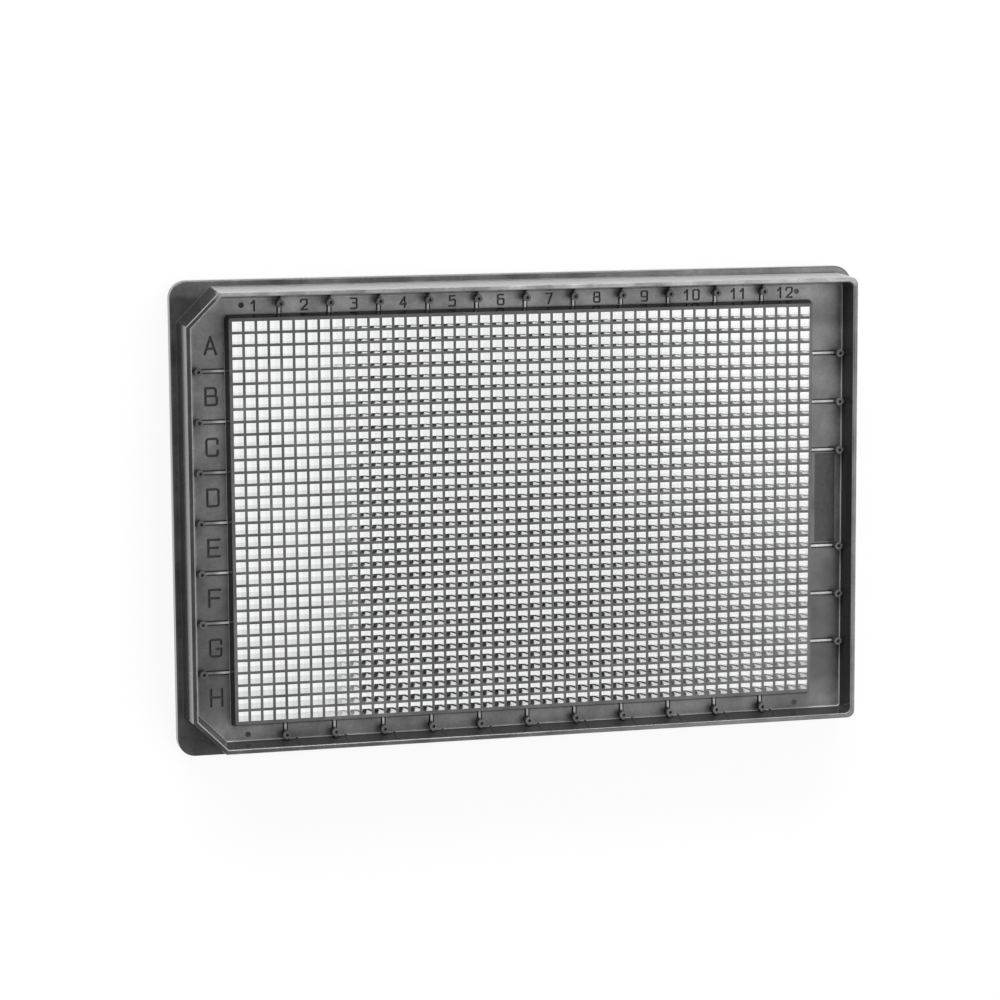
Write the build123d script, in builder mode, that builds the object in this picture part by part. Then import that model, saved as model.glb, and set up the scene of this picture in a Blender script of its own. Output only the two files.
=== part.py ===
from build123d import *
from build123d import SkipClean
from math import atan, degrees, sqrt
import os

os.makedirs("parts", exist_ok=True)

# A 1536-well microplate: 48 columns by 32 rows of square wells.
# Millimetres, +Z up, origin at the middle of the footprint on the resting plane.
# Column 1 is at -X and row A is at +Y.

# Footprint and height
plate_length = 127.76
plate_width = 85.48
plate_height = 10.4

# Base flange
flange_height = 2.4
flange_corner_radius = 3.2
flange_edge_round = 0.3
skirt_wall = 1.3
flange_roof = 1.2
wall_foot_round = 0.25

# Side walls above the flange, drafted so that the plate leaves its mould
wall_foot_inset = 1.2
rim_inset = 1.6
side_wall = 1.4
corner_cut = 6.1
corner_radius = 1.8

# Raised rim around the label floor
rim_width = 0.85
rim_foot_inset = 3.1
rim_edge_round = 0.25
floor_round = 0.3

# Wells
column_count = 48
row_count = 32
well_pitch = 2.25
well_size = 1.75
well_depth = 5.0
tile_wells = 4

# Well block and clear film
film_thickness = 0.2
film_clearance = 2.6
film_margin = 0.35
block_border = 0.35
block_foot_border = 1.0
block_rise = 1.8

# Label floor
floor_thickness = 1.2
letter_height = 3.0
letter_width = 2.0
letter_x = 57.4
number_height = 1.8
number_width = 1.1
number_gap = 0.65
number_y = 38.35
letter_stroke = 0.44
number_stroke = 0.34
label_depth = 0.3

# Ribs in their grooves, and posts, on the label floor
groove_width = 0.95
groove_depth = 0.2
rib_width = 0.4
rib_height = 0.2
post_diameter = 1.4
post_dimple = 0.6
post_dimple_depth = 0.5
post_wall_gap = 0.25
web_width = 0.5
web_drop = 0.4

# Narrow ridges on the inner wall of the rim, beside the posts of the last row
tick_width = 0.35
tick_height = 0.12
tick_offset = 2.05
tick_drop = 1.0
tick_root = 0.4

# Blank panel beside the last column
panel_width = 3.9
panel_length = 16.6
panel_x = 57.6
panel_depth = 0.12

# Ejector pin marks at the corners, one of them deeper
ejector_diameter = 1.0
ejector_depth = 0.08
key_mark_depth = 0.5
ejector_x = 51.8
ejector_y = 38.5

# Heights and sizes worked out from the values above
well_floor_height = film_clearance + film_thickness
block_top_height = well_floor_height + well_depth
label_floor_height = block_top_height - block_rise
grid_length = column_count * well_pitch
grid_width = row_count * well_pitch
tile_size = tile_wells * well_pitch
tile_columns = column_count // tile_wells
tile_rows = row_count // tile_wells
wall_draft = degrees(atan((rim_inset - wall_foot_inset) / (plate_height - flange_height)))
rim_rise = plate_height - label_floor_height
rim_lean = (rim_foot_inset - rim_inset - rim_width) / rim_rise
rim_draft = degrees(atan(rim_lean))
tick_top_height = plate_height - tick_drop
tick_lean = (tick_top_height - label_floor_height) * rim_lean
foot_length = grid_length + 2 * block_foot_border
foot_width = grid_width + 2 * block_foot_border
block_slope = degrees(atan((block_foot_border - block_border) / block_rise))
rim_foot_x = plate_length / 2 - rim_foot_inset
rim_foot_y = plate_width / 2 - rim_foot_inset
post_x = rim_foot_x - post_wall_gap - post_diameter / 2
post_y = rim_foot_y - post_wall_gap - post_diameter / 2
column_lines = [(n + 1 - tile_columns / 2) * tile_size for n in range(tile_columns - 1)]
row_lines = [(n + 1 - tile_rows / 2) * tile_size for n in range(tile_rows - 1)]
free_row_lines = [y for y in row_lines if abs(y) > panel_length / 2]

# Centre lines of the characters, in a box one unit wide and one unit high.
# A line of four points or more has its corners rounded.
char_lines = {
    "A": [((0, 0), (0.5, 1), (1, 0)), ((0.17, 0.33), (0.83, 0.33))],
    "B": [
        ((0, 0), (0, 1)),
        ((0, 1), (0.92, 1), (0.92, 0.53), (0, 0.53)),
        ((0, 0.53), (1, 0.53), (1, 0), (0, 0)),
    ],
    "C": [((1, 0.72), (1, 1), (0, 1), (0, 0), (1, 0), (1, 0.28))],
    "D": [((0, 0), (0, 1)), ((0, 1), (1, 1), (1, 0), (0, 0))],
    "E": [((1, 1), (0, 1)), ((0, 1), (0, 0)), ((0, 0), (1, 0)), ((0, 0.52), (0.85, 0.52))],
    "F": [((1, 1), (0, 1)), ((0, 1), (0, 0)), ((0, 0.5), (0.85, 0.5))],
    "G": [((1, 0.75), (1, 1), (0, 1), (0, 0), (1, 0), (1, 0.45)), ((1, 0.45), (0.6, 0.45))],
    "H": [((0, 0), (0, 1)), ((1, 0), (1, 1)), ((0, 0.52), (1, 0.52))],
    "0": [((0.5, 0), (0, 0), (0, 1), (0.5, 1)), ((0.5, 1), (1, 1), (1, 0), (0.5, 0))],
    "1": [((0.1, 0.72), (0.55, 1)), ((0.55, 1), (0.55, 0))],
    "2": [((0, 0.75), (0, 1), (1, 1), (1, 0.55), (0, 0)), ((0, 0), (1, 0))],
    "3": [((0, 1), (1, 1), (1, 0.54), (0.4, 0.54)), ((0.4, 0.54), (1, 0.54), (1, 0), (0, 0))],
    "4": [((0.75, 0), (0.75, 1)), ((0.75, 1), (0, 0.3)), ((0, 0.3), (1, 0.3))],
    "5": [((0.9, 1), (0.1, 1)), ((0.1, 1), (0.1, 0.55)), ((0.1, 0.55), (1, 0.65), (1, 0), (0, 0))],
    "6": [((0.9, 1), (0, 1), (0, 0), (0.5, 0)), ((0.5, 0), (1, 0), (1, 0.58), (0, 0.58))],
    "7": [((0, 1), (1, 1)), ((1, 1), (0.4, 0))],
    "8": [
        ((0.5, 0.53), (0.05, 0.53), (0.05, 1), (0.5, 1)),
        ((0.5, 1), (0.95, 1), (0.95, 0.53), (0.5, 0.53)),
        ((0.5, 0.53), (0, 0.53), (0, 0), (0.5, 0)),
        ((0.5, 0), (1, 0), (1, 0.53), (0.5, 0.53)),
    ],
    "9": [((1, 0.42), (0, 0.42), (0, 1), (0.5, 1)), ((0.5, 1), (1, 1), (1, 0), (0.1, 0))],
}


def rim_outline(height, inset):
    """Plan of the upper walls: both corners on the column 1 side are cut at 45 degrees."""
    growth = inset - wall_foot_inset
    with BuildSketch(Plane.XY.offset(height)) as outline:
        Rectangle(plate_length - 2 * inset, plate_width - 2 * inset)
        chamfer(outline.vertices().group_by(Axis.X)[0], corner_cut - growth * (2 - sqrt(2)))
        fillet(outline.vertices().group_by(Axis.X)[-1], max(corner_radius - growth, corner_radius / 4))
    return outline.sketch


def label(text, x, y, height, width, gap, stroke):
    """Characters in a row, centred on a point of the label floor."""
    start = x - (len(text) * width + (len(text) - 1) * gap) / 2
    with BuildSketch(Plane.XY.offset(label_floor_height)) as row:
        for n, char in enumerate(text):
            for line in char_lines[char]:
                points = [(start + n * (width + gap) + u * width, y + (v - 0.5) * height) for u, v in line]
                with BuildLine() as centre_line:
                    if len(points) > 3:
                        FilletPolyline(*points, radius=width * 0.22)
                    else:
                        Polyline(*points)
                    offset(amount=stroke / 2)
                make_face(centre_line.edges())
    return row.sketch


def bar_rows(x_from, x_to, y_from, y_to, width):
    """Plan of one bar for each rib: along Y beside the column lines and along X beside the row lines."""
    with Locations(*[(x, side * (y_from + y_to) / 2) for x in column_lines for side in (-1, 1)]):
        Rectangle(width, y_to - y_from)
    left_bars = [(-(x_from + x_to) / 2, y) for y in row_lines]
    right_bars = [((x_from + x_to) / 2, y) for y in free_row_lines]
    with Locations(*left_bars, *right_bars):
        Rectangle(x_to - x_from, width)


def post_circles(diameter):
    """Plan of one circle for each post."""
    with Locations(*[(x, side * post_y) for x in column_lines for side in (-1, 1)]):
        Circle(diameter / 2)
    with Locations(*[(-post_x, y) for y in row_lines], *[(post_x, y) for y in free_row_lines]):
        Circle(diameter / 2)


# One square group of wells, repeated to fill the block
with BuildPart() as well_tile:
    with BuildSketch(Plane.XY.offset(well_floor_height)):
        Rectangle(tile_size, tile_size)
        with GridLocations(well_pitch, well_pitch, tile_wells, tile_wells):
            Rectangle(well_size, well_size, mode=Mode.SUBTRACT)
    extrude(amount=well_depth)

# One ridge of the inner wall, leaning with it
with BuildPart() as wall_tick:
    with BuildSketch(Plane.YZ):
        with BuildLine():
            Polyline(
                (tick_height - rim_foot_y, label_floor_height),
                (tick_height - rim_foot_y - tick_lean, tick_top_height),
                (-rim_foot_y - tick_lean - tick_root, tick_top_height),
                (-rim_foot_y - tick_root, label_floor_height),
                close=True,
            )
        make_face()
    extrude(amount=tick_width / 2, both=True)

with BuildPart() as plate_body:
    # Base flange
    with BuildSketch():
        RectangleRounded(plate_length, plate_width, flange_corner_radius)
    extrude(amount=flange_height)
    fillet(plate_body.faces().sort_by(Axis.Z)[-1].edges(), flange_edge_round)

    # Side walls
    wall_foot = rim_outline(flange_height, wall_foot_inset)
    extrude(wall_foot, amount=plate_height - flange_height, taper=wall_draft)
    flange_top = plate_body.faces().filter_by(Axis.Z).filter_by_position(Axis.Z, flange_height, flange_height)
    fillet(flange_top[0].inner_wires()[0].edges(), wall_foot_round)

    # Recess inside the rim, down to the label floor
    recess_floor = rim_outline(label_floor_height, rim_foot_inset)
    extrude(recess_floor, amount=rim_rise, taper=-rim_draft, mode=Mode.SUBTRACT)
    fillet(plate_body.edges().filter_by_position(Axis.Z, plate_height, plate_height), rim_edge_round)
    fillet(plate_body.edges().filter_by_position(Axis.Z, label_floor_height, label_floor_height), floor_round)

    # Hollow underside, in two steps
    with BuildSketch():
        RectangleRounded(
            plate_length - 2 * skirt_wall, plate_width - 2 * skirt_wall, flange_corner_radius - skirt_wall
        )
    extrude(amount=flange_height - flange_roof, mode=Mode.SUBTRACT)
    hollow_foot = flange_height - flange_roof
    hollow = rim_outline(hollow_foot, wall_foot_inset + side_wall)
    extrude(hollow, amount=label_floor_height - floor_thickness - hollow_foot, mode=Mode.SUBTRACT)

    # Well block: straight under the label floor, sloped above it, open for the wells
    with BuildSketch(Plane.XY.offset(well_floor_height)):
        RectangleRounded(foot_length, foot_width, block_foot_border)
    extrude(amount=label_floor_height - well_floor_height)
    with BuildSketch(Plane.XY.offset(label_floor_height)):
        RectangleRounded(foot_length, foot_width, block_foot_border)
    extrude(amount=block_rise, taper=block_slope)
    with BuildSketch(Plane.XY.offset(well_floor_height)):
        Rectangle(grid_length, grid_width)
    extrude(amount=well_depth, mode=Mode.SUBTRACT)

    # Grooves from the block to the posts, each with a rib along its middle
    with BuildSketch(Plane.XY.offset(label_floor_height)):
        bar_rows(foot_length / 2, post_x, foot_width / 2, post_y, groove_width)
    extrude(amount=-groove_depth, mode=Mode.SUBTRACT)
    with BuildSketch(Plane.XY.offset(label_floor_height - groove_depth)):
        bar_rows(foot_length / 2 - block_border, post_x, foot_width / 2 - block_border, post_y, rib_width)
    extrude(amount=groove_depth + rib_height)

    # Webs from the posts to the rim
    with BuildSketch(Plane.XY.offset(label_floor_height - groove_depth)):
        bar_rows(post_x, rim_foot_x, post_y, rim_foot_y, web_width)
    extrude(amount=groove_depth + block_rise - web_drop)

    # Posts, with a dimple in the top of each
    with BuildSketch(Plane.XY.offset(label_floor_height - groove_depth)):
        post_circles(post_diameter)
    extrude(amount=groove_depth + block_rise)
    with BuildSketch(Plane.XY.offset(block_top_height)):
        post_circles(post_dimple)
    extrude(amount=-post_dimple_depth, mode=Mode.SUBTRACT)

    # Ridges on the inner wall
    with Locations(*[(x + tick_offset, 0, 0) for x in column_lines]):
        add(wall_tick.part)

    # Column numbers and row letters, sunk into the label floor
    labels = []
    for n in range(tile_columns):
        column_x = (n + 0.5 - tile_columns / 2) * tile_size
        number = label(str(n + 1), column_x, number_y, number_height, number_width, number_gap, number_stroke)
        labels.append(extrude(number, amount=-label_depth, mode=Mode.PRIVATE))
    for n in range(tile_rows):
        row_y = (tile_rows / 2 - n - 0.5) * tile_size
        letter = label(chr(ord("A") + n), -letter_x, row_y, letter_height, letter_width, 0, letter_stroke)
        labels.append(extrude(letter, amount=-label_depth, mode=Mode.PRIVATE))
    add(labels, mode=Mode.SUBTRACT)

    # Blank panel
    with BuildSketch(Plane.XY.offset(label_floor_height)):
        with Locations((panel_x, 0)):
            Rectangle(panel_width, panel_length)
    extrude(amount=-panel_depth, mode=Mode.SUBTRACT)

    # Ejector pin marks
    with BuildSketch(Plane.XY.offset(label_floor_height)):
        with GridLocations(2 * ejector_x, 2 * ejector_y, 2, 2):
            Circle(ejector_diameter / 2)
    extrude(amount=-ejector_depth, mode=Mode.SUBTRACT)
    with BuildSketch(Plane.XY.offset(label_floor_height)):
        with Locations((-ejector_x, ejector_y)):
            Circle(ejector_diameter / 2)
    extrude(amount=-key_mark_depth, mode=Mode.SUBTRACT)

    # Wells: the tops of the groups stay separate faces, because one face with every well in it is slow to use
    with SkipClean():
        with GridLocations(tile_size, tile_size, tile_columns, tile_rows):
            add(well_tile.part)

plate_body.part.label = "plate_body"
export_step(plate_body.part, "parts/plate_body.step")

# Clear film closing the wells from below
with BuildPart() as film_bottom:
    with BuildSketch(Plane.XY.offset(film_clearance)):
        Rectangle(foot_length - 2 * film_margin, foot_width - 2 * film_margin)
    extrude(amount=film_thickness)

film_bottom.part.label = "film_bottom"
export_step(film_bottom.part, "parts/film_bottom.step")
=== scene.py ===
import math
from types import SimpleNamespace

import bpy
from mathutils import Matrix, Vector


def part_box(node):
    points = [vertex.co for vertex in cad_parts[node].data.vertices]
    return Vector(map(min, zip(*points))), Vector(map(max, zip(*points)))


# A 1536-well microplate lying on a pale floor, seen from above.
# Metres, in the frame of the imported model: +X to the last column, +Y to row A, +Z up.

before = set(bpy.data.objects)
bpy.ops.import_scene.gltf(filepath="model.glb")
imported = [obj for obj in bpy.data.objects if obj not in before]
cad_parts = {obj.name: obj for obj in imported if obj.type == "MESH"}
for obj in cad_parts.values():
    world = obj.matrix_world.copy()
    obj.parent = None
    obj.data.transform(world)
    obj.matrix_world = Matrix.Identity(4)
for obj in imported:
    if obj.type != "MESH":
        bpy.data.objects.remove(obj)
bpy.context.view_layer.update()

MM = 0.001
plate_low, plate_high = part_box("plate_body")
film_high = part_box("film_bottom")[1]
plate_size = plate_high - plate_low

# Well grid: 48 by 32 wells, centred on the plate
WELL_COLUMNS = 48
WELL_ROWS = 32
WELL_PITCH = 2.25 * MM
WELL_DEPTH = 5.0 * MM
GRID_HALF_X = WELL_COLUMNS * WELL_PITCH / 2
GRID_HALF_Y = WELL_ROWS * WELL_PITCH / 2
BLOCK_TOP = film_high.z + WELL_DEPTH

# Camera: above the plate, off to the side of row A and column 1
CAMERA_PLACE = Vector((-150.7, 80.2, 563.5)) * MM
CAMERA_AIM = Vector((-5.32, 2.24, 7.8)) * MM
CAMERA_ROLL = math.radians(-0.35)
CAMERA_LENS = 115.5
SENSOR_WIDTH = 36.0

# Heights: the flange, the label floor with its ribs and all that is sunk in it, and how far
# the rim's band reaches down. HAIR keeps a limit clear of the face that it belongs to.
FLANGE_TOP = plate_low.z + 2.4 * MM
LABEL_FLOOR = BLOCK_TOP - 1.8 * MM
LABEL_BOTTOM = LABEL_FLOOR - 0.6 * MM
RIB_RISE = 0.2 * MM
RIM_BAND = 0.3 * MM
HAIR = 0.05 * MM

# Outlines, inwards from the plate's edge: the outer wall's top with its cut corners, the
# middle of the rim, and the label floor
WALL_INSET = 1.6 * MM
CORNER_CUT = 6.1 * MM
RIM_INSET = 2.0 * MM
RECESS_INSET = 3.0 * MM

# Limits of the normal's height on faces that look up, that stand, on ribs and on the rim's
# rounded edges, and of its part towards row A on walls that face row A
UPWARD = 0.7
UPRIGHT = 0.3
RIB_SLOPE = 0.15
RIM_EDGE_FACING = (0.35, 0.93)
ROW_A_FACING = (0.72, 0.98)

# Where the painted light and shade change along the plate, each from where to where
ROW_A_LIGHT_EDGE = (39.5 * MM, 40.2 * MM)
ROW_A_LIGHT_BAND = (33.5 * MM, 38.0 * MM)
ROW_H_LIGHT_BAND = (-33.5 * MM, -38.0 * MM)
COLUMN_1_SHADE_EDGE = (-56.0 * MM, -57.5 * MM)
LABEL_FLOOR_LIGHT_SPAN = (-30.0 * MM, 30.0 * MM)

# Dull streak on a well wall, its dark grey a painted reflection of something dark: its middle at the
# top from the cell's edge, its lean, how far from the middle it fades out, and where along the
# plate it begins and where it gets weaker
STREAK_START = 0.5 * MM
STREAK_LEAN = 0.27
STREAK_HALF_WIDTH = (0.3 * MM, 0.6 * MM)
STREAK_BEGINS = (-38.0 * MM, -30.0 * MM)
STREAK_WEAKENS = (15.0 * MM, GRID_HALF_X)
STREAK_LEAST = 0.65

# Greys of the surfaces, as parts of white; many of them are painted light or shade, as marked below
PLASTIC_GREY = 0.03
FLANGE_GREY = 0.055
# Flange and outer wall on the row A side: paler, painted light
ROW_A_LIT_FLANGE_GREY = 0.09
ROW_A_LIT_WALL_GREY = 0.06
# Rim band paler than the plastic: a painted highlight
RIM_HIGHLIGHT_GREY = 0.065
# Rim on the row A side: much paler, painted light
ROW_A_LIT_RIM_GREY = 0.24
# Rim by column 1: darker, painted shade
COLUMN_1_RIM_SHADE_GREY = 0.03
# Rim's rounded edges: a painted highlight
RIM_EDGE_HIGHLIGHT_GREY = 0.24
SATIN_GREY = 0.065
# Label floor: paler towards row A and in bands by rows A and H, painted light
LABEL_FLOOR_LIGHT_GREYS = (0.05, 0.13)
ROW_A_LIT_BAND_GREY = 0.22
ROW_H_LIT_BAND_GREY = 0.15
# Grooves and sunk letters darker than the plastic: painted shade
GROOVE_SHADE_GREY = 0.012
# Rib tops much paler than the plastic: a painted highlight
RIB_TOP_HIGHLIGHT_GREY = 0.4
# Rib tops by column 1: darker, painted shade
COLUMN_1_RIB_SHADE_GREY = 0.15
WELL_WALL_GREY = 0.88
# Well walls that face row A: darker, deepening towards column 48, painted shade
ROW_H_WELL_WALL_SHADE_GREY = 0.7
WELL_FAR_SHADE_GREY = 0.35
# Streak in the wells: a painted dark reflection
WELL_STREAK_DARK_REFLECTION_GREY = 0.04

# Noise values that are used, and how far they change the grey
NOISE_SPAN = (0.3, 0.7)
CLOUD_STRENGTH = (0.6, 1.45)
GRAIN_STRENGTH = (0.85, 1.15)

# Roughness of the surfaces
GLOSS_ROUGHNESS = (0.1, 0.18)
SATIN_ROUGHNESS = (0.38, 0.5)
ROW_A_WALL_ROUGHNESS = 0.35
SHEEN_ROUGHNESS = 0.3
RIB_ROUGHNESS = 0.25
STREAK_ROUGHNESS = 0.7
POLISHED_ROUGHNESS = 0.08

# Bump of the mould texture
BUMP_STRENGTH = 0.15
BUMP_HEIGHT = 0.04 * MM

# Floor: half its side, its gap under the plate, its grey where lamps light it, and the
# share of plain white in what the camera sees of it
FLOOR_HALF_SIZE = 4.0
FLOOR_GAP = 0.02 * MM
FLOOR_WHITE = 0.9
FLOOR_GLOW = 0.88

# Brightness of the white surroundings
SURROUNDINGS = 0.4


def new_material(name):
    """An empty node material and its output node."""
    material = bpy.data.materials.new(name)
    material.use_nodes = True
    material.node_tree.nodes.clear()
    output = material.node_tree.nodes.new("ShaderNodeOutputMaterial")
    return material, output


def add_node(material, kind, **inputs):
    """A node with the given values on its input sockets; underscores stand for spaces."""
    node = material.node_tree.nodes.new(kind)
    for name, value in inputs.items():
        node.inputs[name.replace("_", " ")].default_value = value
    return node


def connect(material, source, target):
    """Link an output socket to an input socket."""
    material.node_tree.links.new(source, target)


def feed(material, value, target):
    """Set an input socket to a plain number, or link it to an output socket."""
    if isinstance(value, (int, float)):
        target.default_value = value
    else:
        connect(material, value, target)


def math_node(material, operation, first, second=None):
    """A Math node on sockets or plain numbers; returns its result."""
    node = material.node_tree.nodes.new("ShaderNodeMath")
    node.operation = operation
    feed(material, first, node.inputs[0])
    if second is not None:
        feed(material, second, node.inputs[1])
    return node.outputs[0]


def ramp(material, value, low, high, low_result=0.0, high_result=1.0):
    """A value mapped from one range to another and held at its ends."""
    limits = {"From_Min": low, "From_Max": high, "To_Min": low_result, "To_Max": high_result}
    node = add_node(material, "ShaderNodeMapRange", **limits)
    connect(material, value, node.inputs["Value"])
    return node.outputs["Result"]


def mix_value(material, factor, first, second):
    """first where the factor is 0, second where it is 1."""
    node = material.node_tree.nodes.new("ShaderNodeMix")
    node.data_type = "FLOAT"
    feed(material, factor, node.inputs[0])
    feed(material, first, node.inputs[2])
    feed(material, second, node.inputs[3])
    return node.outputs[0]


def grey(material, value):
    """A grey colour from a number socket."""
    node = material.node_tree.nodes.new("ShaderNodeCombineColor")
    for socket in node.inputs[:3]:
        connect(material, value, socket)
    return node.outputs[0]


def all_of(material, *masks):
    """The product of several masks."""
    result = masks[0]
    for mask in masks[1:]:
        result = math_node(material, "MULTIPLY", result, mask)
    return result


def opposite(material, mask):
    """1 where a mask is 0, and 0 where it is 1."""
    return math_node(material, "SUBTRACT", 1.0, mask)


def above(material, value, limit):
    """1 where a value is over a number, else 0."""
    return math_node(material, "GREATER_THAN", value, limit)


def below(material, value, limit):
    """1 where a value is under a number, else 0."""
    return math_node(material, "LESS_THAN", value, limit)


def between(material, value, low, high):
    """1 where a value lies between two numbers, else 0."""
    return all_of(material, above(material, value, low), below(material, value, high))


def inside(material, x, y, inset):
    """1 inside the plate's outline moved inwards, with the two corners by column 1 cut off."""
    half_x = plate_size.x / 2 - inset
    half_y = plate_size.y / 2 - inset
    cut_limit = half_x + half_y - CORNER_CUT + (2 - math.sqrt(2)) * (inset - WALL_INSET)
    toward_cut = math_node(material, "SUBTRACT", math_node(material, "ABSOLUTE", y), x)
    return all_of(
        material,
        between(material, x, -half_x, half_x),
        between(material, y, -half_y, half_y),
        below(material, toward_cut, cut_limit),
    )


def separate(material, vector):
    """The x, y and z sockets of a vector."""
    node = add_node(material, "ShaderNodeSeparateXYZ")
    connect(material, vector, node.inputs[0])
    return node.outputs


def noise(material, place, scale, detail, roughness):
    """The value of a noise texture."""
    node = add_node(material, "ShaderNodeTexNoise", Scale=scale, Detail=detail, Roughness=roughness)
    connect(material, place, node.inputs["Vector"])
    return node.outputs[0]


def find_surfaces(material, place, normal):
    """Masks for the body's kinds of surfaces, 1 on the kind and 0 elsewhere, with x and y."""
    x, y, z = separate(material, place)
    facing_y, facing_z = separate(material, normal)[1:]
    found = SimpleNamespace(x=x, y=y)

    in_grid = all_of(
        material,
        between(material, x, -GRID_HALF_X, GRID_HALF_X),
        between(material, y, -GRID_HALF_Y, GRID_HALF_Y),
    )
    off_grid = opposite(material, in_grid)
    in_recess = inside(material, x, y, RECESS_INSET)
    upward = above(material, facing_z, UPWARD)
    upright = between(material, facing_z, -UPRIGHT, UPRIGHT)
    over_film = above(material, z, film_high.z)
    label_area = all_of(material, in_recess, off_grid)

    found.upward = upward
    found.upright_off_grid = all_of(material, upright, off_grid)
    found.well_wall = all_of(material, in_grid, upright, over_film)
    found.satin_top = all_of(material, in_recess, upward, over_film)
    found.groove = all_of(material, label_area, between(material, z, LABEL_BOTTOM, LABEL_FLOOR - HAIR))
    found.label_floor = all_of(
        material,
        label_area,
        upward,
        between(material, z, LABEL_BOTTOM, LABEL_FLOOR + HAIR),
    )
    found.rib_top = all_of(
        material,
        label_area,
        between(material, z, LABEL_FLOOR + HAIR, LABEL_FLOOR + RIB_RISE + HAIR),
        above(material, facing_z, RIB_SLOPE),
    )
    found.rim = above(material, z, plate_high.z - RIM_BAND)
    found.rim_edge = all_of(material, found.rim, between(material, facing_z, *RIM_EDGE_FACING))
    found.flange = all_of(material, upward, below(material, z, FLANGE_TOP + HAIR))

    # Walls that face row A, and the outer one of them
    found.to_row_a = ramp(material, facing_y, *ROW_A_FACING)
    found.row_a_wall = all_of(
        material,
        upright,
        above(material, z, FLANGE_TOP),
        opposite(material, inside(material, x, y, RIM_INSET)),
        found.to_row_a,
    )

    # A dull slanting streak on the wall that faces row A, in the wells from column 9 on; its dark grey
    # is a painted reflection of something dark
    cell = math_node(material, "FRACT", math_node(material, "DIVIDE", x, WELL_PITCH))
    across = math_node(material, "MULTIPLY", cell, WELL_PITCH)
    depth = math_node(material, "SUBTRACT", BLOCK_TOP, z)
    lean = math_node(material, "MULTIPLY", depth, STREAK_LEAN)
    upper_end = math_node(material, "SUBTRACT", across, lean)
    off_streak = math_node(material, "SUBTRACT", upper_end, STREAK_START)
    found.streak = all_of(
        material,
        found.well_wall,
        found.to_row_a,
        ramp(material, math_node(material, "ABSOLUTE", off_streak), *STREAK_HALF_WIDTH, 1.0, 0.0),
        ramp(material, x, *STREAK_BEGINS),
        ramp(material, x, *STREAK_WEAKENS, 1.0, STREAK_LEAST),
    )
    return found


def plastic_tone(material, found, grain, clouds):
    """The grey of each surface but the well walls, with painted light and shade by row A, by row H, by
    column 1, on the rim, the rib tops and in the grooves.
    """
    # Painted light on the row A side and in the label floor's bands by rows A and H, painted shade by
    # column 1
    row_a_light_edge = ramp(material, found.y, *ROW_A_LIGHT_EDGE)
    row_a_light_band = ramp(material, found.y, *ROW_A_LIGHT_BAND)
    row_h_light_band = ramp(material, found.y, *ROW_H_LIGHT_BAND)
    column_1_shade_edge = ramp(material, found.x, *COLUMN_1_SHADE_EDGE)

    rim_light_and_shade = mix_value(material, row_a_light_edge, RIM_HIGHLIGHT_GREY, ROW_A_LIT_RIM_GREY)
    rim_light_and_shade = mix_value(material, column_1_shade_edge, rim_light_and_shade, COLUMN_1_RIM_SHADE_GREY)
    rim_light_and_shade = mix_value(material, found.rim_edge, rim_light_and_shade, RIM_EDGE_HIGHLIGHT_GREY)
    label_floor_light = ramp(material, found.y, *LABEL_FLOOR_LIGHT_SPAN, *LABEL_FLOOR_LIGHT_GREYS)
    label_floor_light = mix_value(material, row_a_light_band, label_floor_light, ROW_A_LIT_BAND_GREY)
    label_floor_light = mix_value(material, row_h_light_band, label_floor_light, ROW_H_LIT_BAND_GREY)
    flange_tone = mix_value(material, row_a_light_edge, FLANGE_GREY, ROW_A_LIT_FLANGE_GREY)
    rib_highlight_and_shade = mix_value(material, column_1_shade_edge, RIB_TOP_HIGHLIGHT_GREY, COLUMN_1_RIB_SHADE_GREY)

    tone = PLASTIC_GREY
    for mask, surface_tone in (
        (found.flange, flange_tone),
        (found.row_a_wall, ROW_A_LIT_WALL_GREY),
        (found.rim, rim_light_and_shade),
        (found.satin_top, SATIN_GREY),
        (found.label_floor, label_floor_light),
        (found.rib_top, rib_highlight_and_shade),
        (found.groove, GROOVE_SHADE_GREY),
    ):
        tone = mix_value(material, mask, tone, surface_tone)

    cloudy = ramp(material, clouds, *NOISE_SPAN, *CLOUD_STRENGTH)
    grainy = ramp(material, grain, *NOISE_SPAN, *GRAIN_STRENGTH)
    mottle = mix_value(material, found.upward, 1.0, math_node(material, "MULTIPLY", cloudy, grainy))
    return math_node(material, "MULTIPLY", tone, mottle)


def well_wall_tone(material, found):
    """The grey of the polished well walls, with painted shade where they face row A that deepens
    towards column 48, and a painted dark reflection in the streak.
    """
    row_h_wall_shade = ramp(material, found.x, 0.0, GRID_HALF_X, ROW_H_WELL_WALL_SHADE_GREY, WELL_FAR_SHADE_GREY)
    tone = mix_value(material, found.to_row_a, WELL_WALL_GREY, row_h_wall_shade)
    return mix_value(material, found.streak, tone, WELL_STREAK_DARK_REFLECTION_GREY)


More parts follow.
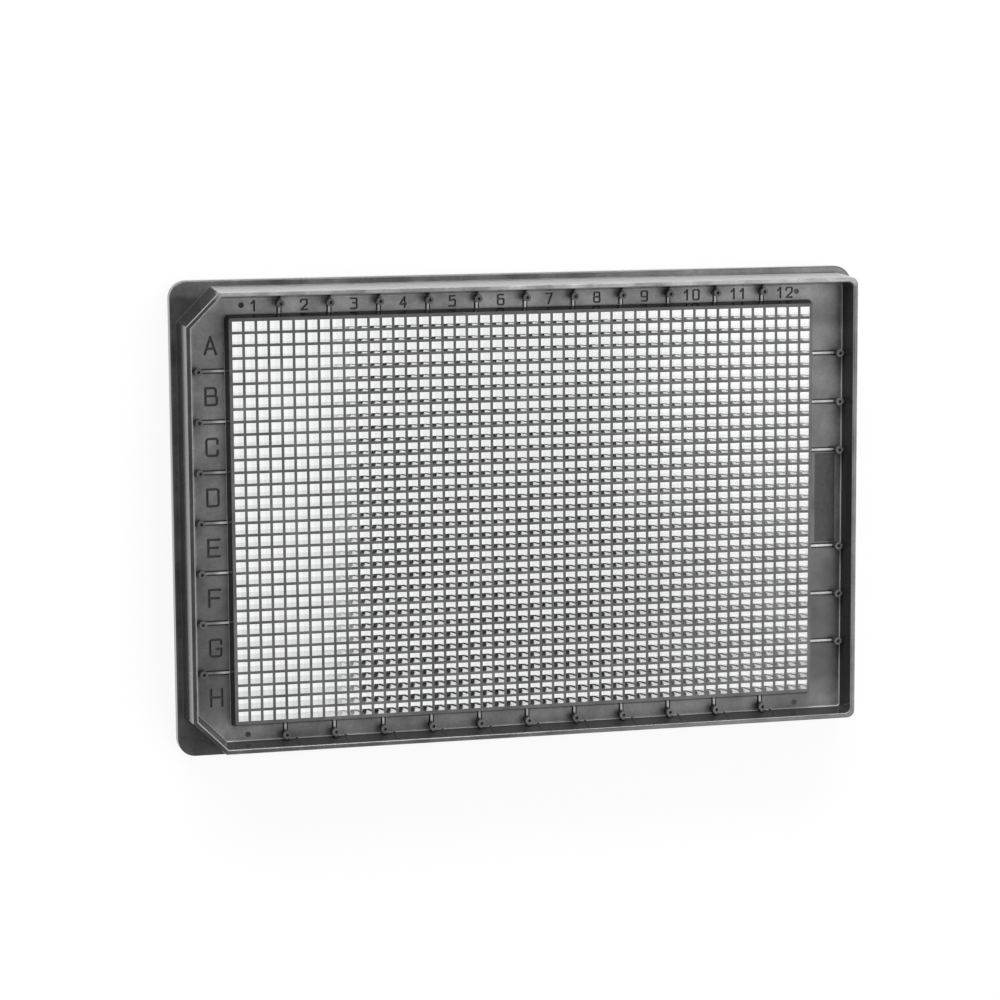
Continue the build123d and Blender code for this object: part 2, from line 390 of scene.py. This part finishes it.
def plastic_material():
    """Near-black glossy moulded plastic, with a satin label floor, polished well walls, and painted
    light and shade in its greys.
    """
    material, output = new_material("moulded_plastic")
    shader = add_node(material, "ShaderNodeBsdfPrincipled", Sheen_Roughness=SHEEN_ROUGHNESS)
    connect(material, shader.outputs[0], output.inputs[0])
    place = add_node(material, "ShaderNodeTexCoord").outputs["Object"]
    normal = add_node(material, "ShaderNodeNewGeometry").outputs["True Normal"]
    found = find_surfaces(material, place, normal)

    # Fine mould texture, slow variation of the grey, and level marks on the walls
    grain = noise(material, place, scale=1500.0, detail=3.0, roughness=0.6)
    clouds = noise(material, place, scale=170.0, detail=3.0, roughness=0.55)
    stretch = add_node(material, "ShaderNodeMapping", Scale=(25.0, 25.0, 3500.0))
    connect(material, place, stretch.inputs["Vector"])
    level_marks = noise(material, stretch.outputs[0], scale=1.0, detail=2.0, roughness=0.5)

    tone = plastic_tone(material, found, grain, clouds)
    colour = mix_value(material, found.well_wall, tone, well_wall_tone(material, found))
    connect(material, grey(material, colour), shader.inputs["Base Color"])
    polished = math_node(material, "SUBTRACT", found.well_wall, found.streak)
    connect(material, polished, shader.inputs["Metallic"])

    rough = ramp(material, level_marks, *NOISE_SPAN, *GLOSS_ROUGHNESS)
    for mask, surface_rough in (
        (found.row_a_wall, ROW_A_WALL_ROUGHNESS),
        (found.satin_top, ramp(material, grain, *NOISE_SPAN, *SATIN_ROUGHNESS)),
        (found.rib_top, RIB_ROUGHNESS),
        (found.streak, STREAK_ROUGHNESS),
        (polished, POLISHED_ROUGHNESS),
    ):
        rough = mix_value(material, mask, rough, surface_rough)
    connect(material, rough, shader.inputs["Roughness"])
    connect(material, found.row_a_wall, shader.inputs["Sheen Weight"])

    relief = mix_value(material, found.upright_off_grid, grain, level_marks)
    bump = add_node(material, "ShaderNodeBump", Strength=BUMP_STRENGTH, Distance=BUMP_HEIGHT)
    connect(material, relief, bump.inputs["Height"])
    connect(material, bump.outputs[0], shader.inputs["Normal"])
    return material


def film_material():
    """Clear smooth film under the wells."""
    material, output = new_material("clear_film")
    clear = {"Transmission_Weight": 1.0, "Roughness": 0.02, "IOR": 1.45}
    shader = add_node(material, "ShaderNodeBsdfPrincipled", **clear)
    shader.inputs["Base Color"].default_value = (0.97, 0.98, 0.98, 1.0)
    connect(material, shader.outputs[0], output.inputs[0])
    return material


def floor_material():
    """White floor that keeps the plate's shadow and looks white in reflections and through the film."""
    material, output = new_material("white_floor")
    diffuse = add_node(material, "ShaderNodeBsdfDiffuse")
    diffuse.inputs["Color"].default_value = (FLOOR_WHITE, FLOOR_WHITE, FLOOR_WHITE, 1.0)
    glow = add_node(material, "ShaderNodeEmission", Strength=1.0)
    glow.inputs["Color"].default_value = (1.0, 1.0, 1.0, 1.0)
    path = add_node(material, "ShaderNodeLightPath")
    seen = math_node(material, "MULTIPLY", path.outputs["Is Camera Ray"], FLOOR_GLOW)
    shown = math_node(material, "MAXIMUM", seen, path.outputs["Is Glossy Ray"])
    shown = math_node(material, "MAXIMUM", shown, path.outputs["Is Transmission Ray"])
    mix = add_node(material, "ShaderNodeMixShader")
    connect(material, shown, mix.inputs[0])
    connect(material, diffuse.outputs[0], mix.inputs[1])
    connect(material, glow.outputs[0], mix.inputs[2])
    connect(material, mix.outputs[0], output.inputs[0])
    return material


def dress(node, material):
    """One material in every slot of a CAD node."""
    for slot in node.material_slots:
        slot.material = material


def make_floor():
    """A wide level floor just under the plate."""
    mesh = bpy.data.meshes.new("floor")
    half = FLOOR_HALF_SIZE
    corners = [(-half, -half), (half, -half), (half, half), (-half, half)]
    mesh.from_pydata([(x, y, plate_low.z - FLOOR_GAP) for x, y in corners], [], [(0, 1, 2, 3)])
    floor = bpy.data.objects.new("floor", mesh)
    floor.data.materials.append(floor_material())
    bpy.context.scene.collection.objects.link(floor)


def make_camera():
    """The camera, looking down at the plate with row A at the top."""
    data = bpy.data.cameras.new("camera")
    data.lens = CAMERA_LENS
    data.sensor_width = SENSOR_WIDTH
    data.clip_start = 0.01
    data.clip_end = 20.0
    camera = bpy.data.objects.new("camera", data)
    back = (CAMERA_PLACE - CAMERA_AIM).normalized()
    right = Vector((0, 1, 0)).cross(back).normalized()
    up = back.cross(right)
    level = Matrix((right, up, back)).transposed()
    turn = level @ Matrix.Rotation(CAMERA_ROLL, 3, "Z")
    camera.matrix_world = Matrix.Translation(CAMERA_PLACE) @ turn.to_4x4()
    bpy.context.scene.collection.objects.link(camera)
    bpy.context.scene.camera = camera


def area_lamp(name, place, size, power):
    """A soft box facing the middle of the plate."""
    data = bpy.data.lights.new(name, "AREA")
    data.shape = "RECTANGLE"
    data.size, data.size_y = size
    data.energy = power
    lamp = bpy.data.objects.new(name, data)
    lamp.location = place
    lamp.rotation_euler = Vector(place).to_track_quat("Z", "Y").to_euler()
    bpy.context.scene.collection.objects.link(lamp)


def make_lights():
    """White surroundings and two soft boxes."""
    world = bpy.data.worlds.new("studio")
    world.use_nodes = True
    world.node_tree.nodes["Background"].inputs["Color"].default_value = (1.0, 1.0, 1.0, 1.0)
    world.node_tree.nodes["Background"].inputs["Strength"].default_value = SURROUNDINGS
    bpy.context.scene.world = world
    area_lamp("side_box", place=(1.0, -0.15, 1.3), size=(1.6, 1.2), power=20.0)
    area_lamp("back_box", place=(-0.2, 1.4, 0.55), size=(1.6, 0.6), power=30.0)


make_camera()
make_lights()
make_floor()
dress(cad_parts["plate_body"], plastic_material())
dress(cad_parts["film_bottom"], film_material())

bpy.context.scene.view_settings.view_transform = "Standard"
